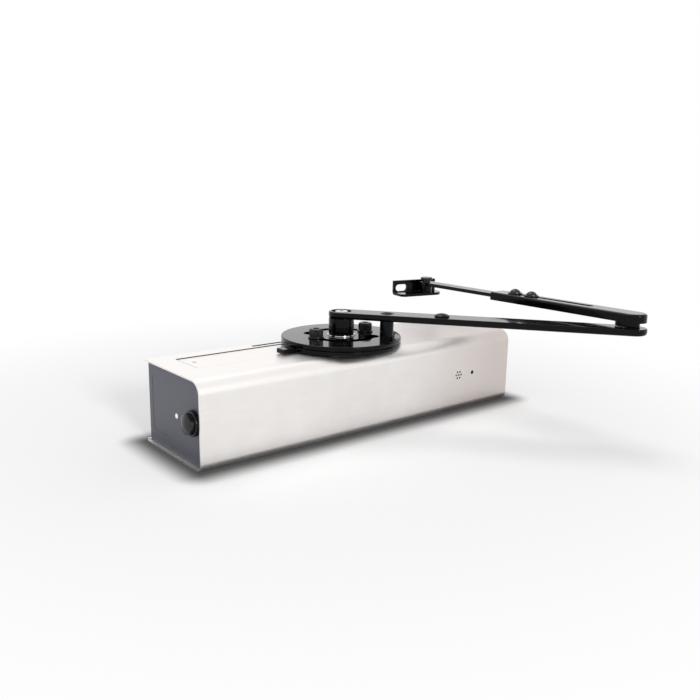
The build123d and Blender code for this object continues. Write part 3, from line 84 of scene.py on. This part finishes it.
# fine grain and wide cloud, both in the object's own coordinates, tint the colour and the roughness;
# inputs 6 and 7 of a Mix node are its two colours and output 2 is their mix
def makeMaterial(name, look):
    material = bpy.data.materials.new(name)
    material.use_nodes = True
    tree = material.node_tree
    tree.nodes.clear()
    coords = addNode(tree, "ShaderNodeTexCoord").outputs["Object"]
    shader = addNode(tree, "ShaderNodeBsdfPrincipled", {}, look.get("shader", {}))
    grain = (look["grainMm"], look.get("stretch", (1, 1, 1)), look.get("detail", 3.0))
    cloud = (look.get("cloudMm", 30.0), (1, 1, 1), 2.0)
    colour = toLinear(look["colours"][0])
    shares = []
    for (sizeMm, stretch, detail), tint in zip((grain, cloud), look["colours"][1:]):
        scale = [1 / (sizeMm * mm * s) for s in stretch]
        mapped = addNode(tree, "ShaderNodeMapping", {}, {"Vector": coords, "Scale": scale})
        noise = addNode(tree, "ShaderNodeTexNoise", {}, {
            "Vector": mapped.outputs[0], "Scale": 1.0, "Detail": detail})
        share = addNode(tree, "ShaderNodeMapRange", {}, {
            "Value": noise.outputs["Fac"], "From Min": noiseLow, "From Max": noiseHigh, "To Max": tintShare})
        mixed = addNode(tree, "ShaderNodeMix", {"data_type": "RGBA"}, {
            0: share.outputs["Result"], 6: colour, 7: toLinear(tint)})
        colour = mixed.outputs[2]
        shares.append(share.outputs["Result"])
    # painted shade: the colour goes over to a darker, warmer tone along X, in place of a darker reflection
    if "paintedShadeTone" in look:
        along = addNode(tree, "ShaderNodeSeparateXYZ", {}, {0: coords}).outputs["X"]
        far = addNode(tree, "ShaderNodeMapRange", {"interpolation_type": "SMOOTHSTEP"}, {
            "Value": along, "From Min": look["paintedShadeFrom"], "From Max": look["paintedShadeTo"]})
        mixed = addNode(tree, "ShaderNodeMix", {"data_type": "RGBA"}, {
            0: far.outputs["Result"], 6: colour, 7: toLinear(look["paintedShadeTone"])})
        colour = mixed.outputs[2]
    tree.links.new(colour, shader.inputs["Base Color"])
    both = addNode(tree, "ShaderNodeMath", {"operation": "ADD"}, {0: shares[0], 1: shares[1]})
    smoothest, roughest = look["roughness"]
    rough = addNode(tree, "ShaderNodeMapRange", {}, {
        "Value": both.outputs[0], "From Max": 2 * tintShare, "To Min": smoothest, "To Max": roughest})
    tree.links.new(rough.outputs["Result"], shader.inputs["Roughness"])
    if "bumpMm" in look:
        bump = addNode(tree, "ShaderNodeBump", {}, {
            "Height": shares[0], "Distance": look["bumpMm"] * mm, "Strength": look.get("bumpShare", 0.5)})
        tree.links.new(bump.outputs[0], shader.inputs["Normal"])
    addNode(tree, "ShaderNodeOutputMaterial", {}, {"Surface": shader.outputs[0]})
    return material


# per material slot: name, colours (ground, grain, cloud), grain and cloud sizes and bump in millimetres
looks = {
    # stainless sheet brushed lengthwise: soft streaks and faint blotches, no mirror image; painted shade:
    # warmer and darker towards the right end along X, between two limits in metres, in place of a darker
    # reflection there
    "stainless": {"name": "brushedStainless", "colours": ("#F4F2F0", "#E6E3E1", "#EAE5E3"), "grainMm": 0.25,
                  "stretch": (240, 1, 1), "detail": 2.0, "cloudMm": 22.0, "roughness": (0.34, 0.46),
                  "bumpMm": 0.004, "paintedShadeTone": "#CFC6C2", "paintedShadeFrom": 0.0, "paintedShadeTo": 0.2,
                  "shader": {"Metallic": 1.0}},
    # moulded ABS, fine spark texture: even and dull
    "slate_plastic": {"name": "slateAbs", "colours": ("#63646F", "#5A5B66", "#6B6C78"), "grainMm": 0.4,
                      "cloudMm": 22.0, "roughness": (0.42, 0.56), "bumpMm": 0.015, "shader": {"IOR": 1.5}},
    # moulded ABS from a polished tool: deep black with a soft gloss
    "black_plastic": {"name": "blackAbs", "colours": ("#0C0C0F", "#121216", "#0A0A0C"), "grainMm": 0.8,
                      "roughness": (0.20, 0.32), "bumpMm": 0.004, "shader": {"Specular IOR Level": 0.3}},
    "button_plastic": {"name": "glossBlackAbs", "colours": ("#121219", "#17171F", "#101014"), "grainMm": 1.0,
                       "roughness": (0.14, 0.24), "bumpMm": 0.003, "shader": {"Specular IOR Level": 0.45}},
    # clear polycarbonate light guide with a frosted dome; its faint emission is a painted glow
    "light_plastic": {"name": "frostedPolycarbonate", "colours": ("#FAFAFC", "#F4F4F8", "#FFFFFF"),
                      "grainMm": 0.6, "roughness": (0.25, 0.35),
                      "shader": {"IOR": 1.58, "Emission Color": toLinear("#F4F4FF"),
                                 "Emission Strength": 0.35}},
    # gloss black powder coat on steel: near black face on, silvery at a low angle, faint orange peel
    "black_coat": {"name": "glossBlackPowderCoat", "colours": ("#060608", "#0A0A0D", "#08080A"),
                   "grainMm": 0.9, "roughness": (0.08, 0.16), "bumpMm": 0.0015, "bumpShare": 0.4,
                   "shader": {"Specular IOR Level": 0.03, "Coat Weight": 1.0, "Coat IOR": 1.2,
                              "Coat Roughness": 0.04}},
    # bright zinc plate: cool grey with a slight yellow cast in places
    "zinc_steel": {"name": "zincPlatedSteel", "colours": ("#C9CBCE", "#B9BCC1", "#C7C3B6"), "grainMm": 2.5,
                   "cloudMm": 18.0, "roughness": (0.28, 0.42), "shader": {"Metallic": 1.0}},
    # black oxide on turned steel: oily dark grey
    "black_screw": {"name": "blackOxideSteel", "colours": ("#16161B", "#222229", "#1A1A20"), "grainMm": 0.4,
                    "roughness": (0.20, 0.32), "bumpMm": 0.005,
                    "shader": {"Metallic": 0.3, "Specular IOR Level": 0.6}},
    "bright_steel": {"name": "polishedSteel", "colours": ("#DCDDDF", "#CFD0D3", "#D6D6D8"), "grainMm": 0.6,
                     "roughness": (0.10, 0.22), "shader": {"Metallic": 1.0}},
    "hardened_steel": {"name": "groundSteel", "colours": ("#A9ABB0", "#92959A", "#A2A4A9"), "grainMm": 0.3,
                       "stretch": (1, 1, 20), "roughness": (0.22, 0.38), "bumpMm": 0.004,
                       "shader": {"Metallic": 1.0}},
    "spring_steel": {"name": "oilTemperedSpringSteel", "colours": ("#55565B", "#414247", "#4C4D52"),
                     "grainMm": 1.0, "roughness": (0.30, 0.45), "shader": {"Metallic": 1.0}},
    # pressure die cast aluminium: dull, finely pitted
    "cast_aluminium": {"name": "castAluminium", "colours": ("#B9BABD", "#A7A9AD", "#B2B3B6"), "grainMm": 0.7,
                       "roughness": (0.45, 0.60), "bumpMm": 0.06, "shader": {"Metallic": 1.0}},
    "bronze": {"name": "bearingBronze", "colours": ("#B08A52", "#9A7743", "#A8824C"), "grainMm": 0.6,
               "roughness": (0.25, 0.40), "shader": {"Metallic": 1.0}},
    "seal_rubber": {"name": "nitrileRubber", "colours": ("#18181A", "#1F1F22", "#1A1A1C"), "grainMm": 0.4,
                    "roughness": (0.60, 0.75), "bumpMm": 0.01, "shader": {"IOR": 1.52}},
    # glass epoxy board under green solder resist
    "board": {"name": "solderResistGreen", "colours": ("#1F6B3A", "#2A7A46", "#23703E"), "grainMm": 1.5,
              "stretch": (6, 1, 1), "roughness": (0.30, 0.45), "shader": {"IOR": 1.5}},
    "tray_plastic": {"name": "blackPolypropylene", "colours": ("#1B1C1E", "#222327", "#1E1F22"),
                     "grainMm": 0.5, "roughness": (0.45, 0.60), "bumpMm": 0.02, "shader": {"IOR": 1.49}},
    "cell_wrap": {"name": "shrinkSleeve", "colours": ("#3A3D42", "#303337", "#36393E"), "grainMm": 5.0,
                  "roughness": (0.20, 0.35), "shader": {"IOR": 1.5}},
    "contact_metal": {"name": "nickelPlatedSteel", "colours": ("#C8C4B6", "#B8B3A4", "#C1BDAF"),
                      "grainMm": 0.8, "roughness": (0.20, 0.35), "shader": {"Metallic": 1.0}},
    "sounder_plastic": {"name": "blackPhenolic", "colours": ("#0B0B0C", "#101012", "#0D0D0E"), "grainMm": 0.5,
                        "roughness": (0.55, 0.70), "shader": {"Specular IOR Level": 0.2}},
}
materials = {slot: makeMaterial(look["name"], look) for slot, look in looks.items()}
for nodeName, obj in nodes.items():
    obj.data.materials.clear()
    obj.data.materials.append(materials[slotOf[nodeName]])
# the mounting plate's coat is matt, so its edge stays black in the notch behind the disc
mattCoat = {"name": "mattBlackPowderCoat", "colours": ("#08080A", "#0D0D10", "#0A0A0C"), "grainMm": 0.5,
            "roughness": (0.75, 0.90), "bumpMm": 0.01, "shader": {"Specular IOR Level": 0.05}}
plateMesh = nodes["mounting_plate"].data
plateMesh.materials.clear()
plateMesh.materials.append(makeMaterial(mattCoat["name"], mattCoat))
print("materials made:", len(materials) + 1)

# sharp edges rounded, in millimetres: a CAD node's triangles are joined first, and each flat face keeps its
# own normal by a weight on its area
softEdge = {
    "button_bezel": 0.25, "drive_disc": 0.3, "swing_disc": 0.3, "hub": 0.3, "hub_ring": 0.25, "main_arm": 0.3,
    "post": 0.25, "forearm_channel": 0.3, "slide_rod": 0.4, "shoe_bracket": 0.3, "drive_washers": 0.2,
    "pivot_bolt": 0.2, "elbow_block": 0.4, "clamp_screws": 0.2,
}


# a flat face keeps its own normal beside a rounded edge; width is in millimetres, 0 for an edge left as it is
def soften(obj, width):
    if width:
        obj.modifiers.new("joinTriangles", "WELD").merge_threshold = mergeGap
        bevel = obj.modifiers.new("softEdge", "BEVEL")
        bevel.width = width * mm
        bevel.segments = 2
        bevel.limit_method = "ANGLE"
        bevel.angle_limit = bevelAngle
    flat = obj.modifiers.new("flatFaces", "WEIGHTED_NORMAL")
    flat.weight = 100
    flat.keep_sharp = True


for nodeName, width in softEdge.items():
    soften(nodes[nodeName], width)
print("edges softened:", len(softEdge))


# links a piece in, gives it a slot's material and lets it ride on a body
def placePiece(mesh, body, slot):
    mesh.materials.clear()
    mesh.materials.append(materials[slot])
    obj = bpy.data.objects.new(mesh.name, mesh)
    bpy.context.scene.collection.objects.link(obj)
    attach(obj, body)
    return obj


# lower front corner of the casing: copies of the CAD sheet and end plates are cut back to where the rounding
# starts, and a quarter ring between an outer and an inner radius about one axis along X closes them; "back"
# draws the rear edge of an end plate towards the door, as far as the photograph shows it
cornerLooks = {
    "cover": {"piece": "coverSheet", "outer": 7.5, "inner": 6.0, "ends": (-197.5, 197.5)},
    "left_end_plate": {"piece": "leftEndFace", "outer": 5.7, "inner": 0.0, "ends": (-194.5, -191.5),
                       "back": -2.0},
    "right_end_plate": {"piece": "rightEndFace", "outer": 5.7, "inner": 0.0, "ends": (191.5, 194.5),
                        "back": -2.0},
}
cornerY, cornerZ, cornerSteps = -96.5, -32.5, 10  # axis of the rounding in millimetres, facets of the quarter
nearGap = 0.01  # millimetres: a point this near a cut lies on it


def roundCorner(nodeName, look):
    # angle a runs from the front (pi) to the underside (3/2 pi): y = Y0 + r cos a, z = Z0 + r sin a
    angle = np.linspace(np.pi, 1.5 * np.pi, cornerSteps + 1)
    radius = np.array([look["outer"], look["inner"]])
    x, r, a = np.meshgrid(look["ends"], radius, angle, indexing="ij")
    points = np.stack([x, cornerY + r * np.cos(a), cornerZ + r * np.sin(a)], axis=-1) * mm
    index = np.arange(x.size).reshape(x.shape)
    here, there = index[..., :-1], index[..., 1:]
    outer = np.stack([here[0, 0], here[1, 0], there[1, 0], there[0, 0]], axis=-1)
    inner = np.stack([here[0, 1], there[0, 1], there[1, 1], here[1, 1]], axis=-1)
    first = np.stack([here[0, 0], there[0, 0], there[0, 1], here[0, 1]], axis=-1)
    last = np.stack([here[1, 0], here[1, 1], there[1, 1], there[1, 0]], axis=-1)
    ring = bpy.data.meshes.new("ring")
    ring.from_pydata(points.reshape(-1, 3).tolist(), [], np.concatenate([outer, inner, first, last]).tolist())
    # the CAD solid without its square corner, cut along both planes through the ring's axis
    solid = bmesh.new()
    solid.from_mesh(nodes[nodeName].data)
    bmesh.ops.remove_doubles(solid, verts=solid.verts, dist=mergeGap)
    for place, normal in (((0, cornerY * mm, 0), (0, 1, 0)), ((0, 0, cornerZ * mm), (0, 0, 1))):
        geometry = list(solid.verts) + list(solid.edges) + list(solid.faces)
        bmesh.ops.bisect_plane(solid, geom=geometry, dist=mergeGap, plane_co=place, plane_no=normal)
    pastY, pastZ = (cornerY + nearGap) * mm, (cornerZ + nearGap) * mm
    square = [f for f in solid.faces if all(v.co.y < pastY and v.co.z < pastZ for v in f.verts)]
    bmesh.ops.delete(solid, geom=square, context="FACES")
    # points of the cut that the ring doesn't have are taken out of the straight seam
    kept = points.reshape(-1, 3)
    extra = [v for v in solid.verts if v.is_boundary and np.abs(kept - v.co).sum(axis=1).min() > nearGap * mm]
    bmesh.ops.dissolve_verts(solid, verts=extra)
    solid.from_mesh(ring)
    if "back" in look:
        rear = max(v.co.y for v in solid.verts)
        for v in solid.verts:
            if v.co.y > rear - nearGap * mm:
                v.co.y = look["back"] * mm
    bmesh.ops.remove_doubles(solid, verts=solid.verts, dist=mergeGap)
    bmesh.ops.dissolve_degenerate(solid, edges=solid.edges, dist=mergeGap / 2)
    mesh = bpy.data.meshes.new(look["piece"])
    solid.to_mesh(mesh)
    solid.free()
    bpy.data.meshes.remove(ring)
    if "custom_normal" in mesh.attributes:
        mesh.attributes.remove(mesh.attributes["custom_normal"])
    mesh.shade_smooth()
    mesh.set_sharp_from_angle(angle=smoothAngle)
    obj = placePiece(mesh, "casing", slotOf[nodeName])
    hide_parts(nodeName)
    soften(obj, 0)
    return len(square)


for nodeName, look in cornerLooks.items():
    print("corner rounded:", nodeName, roundCorner(nodeName, look), "faces cut away")

# knurled rings of the two drive screw heads: the outer radius waves with the angle t about the screw,
# R + (depth / 2) cos(ridges t), over a closed section; each ring hugs a plain CAD head
knurlLook = {"centre": (-8.0, -54.7), "pitchRadius": 31.0, "angles": (178.0, 358.0), "radius": 6.55,
             "inner": 6.2, "depth": 0.45, "ridges": 32, "columnsPerRidge": 8, "low": 52.5, "high": 59.3,
             "chamfer": 0.5}


def makeKnurl(look):
    low, high, edge = look["low"], look["high"], look["chamfer"]
    # section, going up the outside: share of the wave, radius, level
    wave = np.array([0.0, 0.0, 1.0, 1.0, 0.0, 0.0])
    swing = look["depth"] / 2
    inner, plain, mean = look["inner"], look["radius"], look["radius"] + swing
    base = np.array([inner, plain, mean, mean, plain, inner])
    z = np.array([low, low, low + edge, high - edge, high, high])
    columns = look["columnsPerRidge"] * look["ridges"]
    turn = np.arange(columns) * 2 * np.pi / columns
    radius = base[None, :] + wave[None, :] * swing * np.cos(look["ridges"] * turn)[:, None]
    screws = np.radians(look["angles"])
    centreX = look["centre"][0] + look["pitchRadius"] * np.cos(screws)
    centreY = look["centre"][1] + look["pitchRadius"] * np.sin(screws)
    points = np.stack([centreX[:, None, None] + radius * np.cos(turn)[:, None],
                       centreY[:, None, None] + radius * np.sin(turn)[:, None],
                       np.broadcast_to(z, (len(screws),) + radius.shape)], axis=-1) * mm
    index = np.arange(points.size // 3).reshape(points.shape[:3])
    along, up = np.roll(index, -1, axis=1), np.roll(index, -1, axis=2)
    quads = np.stack([index, along, np.roll(along, -1, axis=2), up], axis=-1).reshape(-1, 4)
    mesh = bpy.data.meshes.new("knurledRings")
    mesh.from_pydata(points.reshape(-1, 3).tolist(), [], quads.tolist())
    placePiece(mesh, "spindle", "black_screw")
    return len(quads)


print("knurled rings made:", makeKnurl(knurlLook), "faces")

# painted shade: a black strip put in the joint behind the access panel, where the real slit lies dark in
# shade;
# half an ellipse, y = Y0 + w cos t, z = Z0 + h sin t with t from 0 to pi, carried along X and closed at both
# ends
shadowStripLook = {"width": 1.5, "height": 0.5, "behind": 0.9, "steps": 8, "until": -38.0}


def makeShadowStrip(look):
    panelLow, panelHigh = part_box("access_panel")
    t = np.linspace(0.0, np.pi, look["steps"] + 1)
    y = panelHigh[1] + (look["behind"] + look["width"] * np.cos(t)) * mm
    z = panelHigh[2] + look["height"] * np.sin(t) * mm
    x = np.array([panelLow[0], look["until"] * mm])
    points = np.stack([np.repeat(x, len(t)), np.tile(y, 2), np.tile(z, 2)], axis=-1)
    first = np.arange(len(t))
    after = np.roll(first, -1)
    quads = np.stack([first, after, after + len(t), first + len(t)], axis=-1)
    faces = quads.tolist() + [first[::-1].tolist(), (first + len(t)).tolist()]
    mesh = bpy.data.meshes.new("panelShadowStrip")
    mesh.from_pydata(points.tolist(), [], faces)
    placePiece(mesh, "casing", "seal_rubber")
    return len(faces)


print("panel seal made:", makeShadowStrip(shadowStripLook), "faces")

# floor: pale paper that keeps the shadow, with a painted shadow at the casing's foot; white to the camera and
# in reflections away from the object
# the last two entries set the painted shadow at the casing's foot: its darkest share and its width in metres
floorLook = {"half": 12.0, "grey": 0.955, "lift": 0.16, "clearFrom": 0.26, "clearTo": 0.60,
             "paintedShadow": 0.12, "paintedShadowWidth": 0.032}
floorMesh = bpy.data.meshes.new("floor")
half = floorLook["half"]
corners = [(x * half, y * half, floorZ) for x, y in ((-1, -1), (1, -1), (1, 1), (-1, 1))]
floorMesh.from_pydata(corners, [], [(0, 1, 2, 3)])
floor = bpy.data.objects.new("floor", floorMesh)
bpy.context.scene.collection.objects.link(floor)


# 1 for camera, glossy and transmission rays, else 0
def seenRays(tree):
    path = addNode(tree, "ShaderNodeLightPath").outputs
    total = path["Is Camera Ray"]
    for kind in ("Is Glossy Ray", "Is Transmission Ray"):
        total = addNode(tree, "ShaderNodeMath", {"operation": "ADD", "use_clamp": True}, {
            0: total, 1: path[kind]}).outputs[0]
    return total


floorMaterial = bpy.data.materials.new("whitePaper")
floorMaterial.use_nodes = True
tree = floorMaterial.node_tree
tree.nodes.clear()
seen = seenRays(tree)
coords = addNode(tree, "ShaderNodeTexCoord").outputs["Object"]
away = addNode(tree, "ShaderNodeVectorMath", {"operation": "LENGTH"}, {0: coords}).outputs["Value"]
clear = addNode(tree, "ShaderNodeMapRange", {"interpolation_type": "SMOOTHSTEP"}, {
    "Value": away, "From Min": floorLook["clearFrom"], "From Max": floorLook["clearTo"]}).outputs["Result"]
# painted shadow: the paper darkens towards the casing's foot, by the distance from its outline:
# length of max(|p - centre| - half, 0)
foot = [(low + high) / 2 for low, high in zip(coverLow, coverHigh)]
reach = [(high - low) / 2 for low, high in zip(coverLow, coverHigh)]
centred = addNode(tree, "ShaderNodeVectorMath", {"operation": "SUBTRACT"}, {0: coords, 1: foot})
mirrored = addNode(tree, "ShaderNodeVectorMath", {"operation": "ABSOLUTE"}, {0: centred.outputs[0]})
beyond = addNode(tree, "ShaderNodeVectorMath", {"operation": "SUBTRACT"}, {0: mirrored.outputs[0], 1: reach})
outside = addNode(tree, "ShaderNodeVectorMath", {"operation": "MAXIMUM"}, {
    0: beyond.outputs[0], 1: (0, 0, 0)})
gap = addNode(tree, "ShaderNodeVectorMath", {"operation": "LENGTH"}, {0: outside.outputs[0]})
paintedShadow = addNode(tree, "ShaderNodeMapRange", {"interpolation_type": "SMOOTHSTEP"}, {
    "Value": gap.outputs["Value"], "From Max": floorLook["paintedShadowWidth"], "To Min": floorLook["paintedShadow"]})
grey = addNode(tree, "ShaderNodeMath", {"operation": "MULTIPLY"}, {
    0: paintedShadow.outputs["Result"], 1: floorLook["grey"]})
lift = addNode(tree, "ShaderNodeMath", {"operation": "MULTIPLY"}, {0: seen, 1: floorLook["lift"]})
# the painted shadow dims the paper's lift too
glowing = addNode(tree, "ShaderNodeMath", {"operation": "MULTIPLY"}, {
    0: paintedShadow.outputs["Result"], 1: lift.outputs[0]})
whiteShare = addNode(tree, "ShaderNodeMath", {"operation": "MULTIPLY"}, {0: seen, 1: clear}).outputs[0]
paper = addNode(tree, "ShaderNodeBsdfDiffuse", {}, {"Color": grey.outputs[0]})
glow = addNode(tree, "ShaderNodeEmission", {}, {"Strength": glowing.outputs[0]})
near = addNode(tree, "ShaderNodeAddShader", {}, {0: paper.outputs[0], 1: glow.outputs[0]})
white = addNode(tree, "ShaderNodeEmission", {}, {"Strength": 1.0})
ground = addNode(tree, "ShaderNodeMixShader", {}, {0: whiteShare, 1: near.outputs[0], 2: white.outputs[0]})
addNode(tree, "ShaderNodeOutputMaterial", {}, {"Surface": ground.outputs[0]})
floorMesh.materials.append(floorMaterial)

# world: plain soft fill; white to the camera and in reflections
worldLook = {"fill": 0.43}
world = bpy.data.worlds.new("studio")
bpy.context.scene.world = world
world.use_nodes = True
tree = world.node_tree
tree.nodes.clear()
strength = addNode(tree, "ShaderNodeMapRange", {}, {
    "Value": seenRays(tree), "To Min": worldLook["fill"], "To Max": 1.0})
sky = addNode(tree, "ShaderNodeBackground", {}, {"Color": (1, 1, 1, 1), "Strength": strength.outputs[0]})
addNode(tree, "ShaderNodeOutputWorld", {}, {"Surface": sky.outputs[0]})

# lamps: a low key from the front, whose shadow shows behind the left end, and one from above and behind
lampLooks = {
    "keyLamp": {"towards": (-0.11, -0.93, 0.35), "angle": 14, "power": 1.3},
    "rimLamp": {"towards": (0.05, 0.42, 0.91), "angle": 30, "power": 0.75},
}
for lampName, look in lampLooks.items():
    data = bpy.data.lights.new(lampName, "SUN")
    data.energy = look["power"]
    data.angle = math.radians(look["angle"])
    lamp = bpy.data.objects.new(lampName, data)
    bpy.context.scene.collection.objects.link(lamp)
    lamp.rotation_mode = "QUATERNION"
    lamp.rotation_quaternion = Vector(look["towards"]).to_track_quat("Z", "Y")
print("floor, world and lamps made")

# camera fitted to the photograph: yaw from +Y towards +X, pitch down, roll
cameraLook = {"place": (-0.49719, -0.66483, 0.21077), "yaw": 39.407, "pitch": 12.699, "roll": -1.037,
              "focalPx": 781.56}
yaw, pitch, roll = (math.radians(cameraLook[key]) for key in ("yaw", "pitch", "roll"))
forward = Vector((math.sin(yaw) * math.cos(pitch), math.cos(yaw) * math.cos(pitch), -math.sin(pitch)))
level = Vector((math.cos(yaw), -math.sin(yaw), 0.0))
plumb = forward.cross(level)
right = math.cos(roll) * level + math.sin(roll) * plumb
down = -math.sin(roll) * level + math.cos(roll) * plumb
cameraData = bpy.data.cameras.new("camera")
camera = bpy.data.objects.new("camera", cameraData)
bpy.context.scene.collection.objects.link(camera)
cameraData.sensor_width = sensorMm
cameraData.lens = sensorMm * cameraLook["focalPx"] / imagePx
cameraData.clip_start, cameraData.clip_end = 0.01, 100.0
turn = Matrix((right, -down, -forward)).transposed()
camera.matrix_world = Matrix.Translation(cameraLook["place"]) @ turn.to_4x4()
bpy.context.scene.camera = camera
bpy.context.scene.view_settings.view_transform = "Standard"
print("camera set")
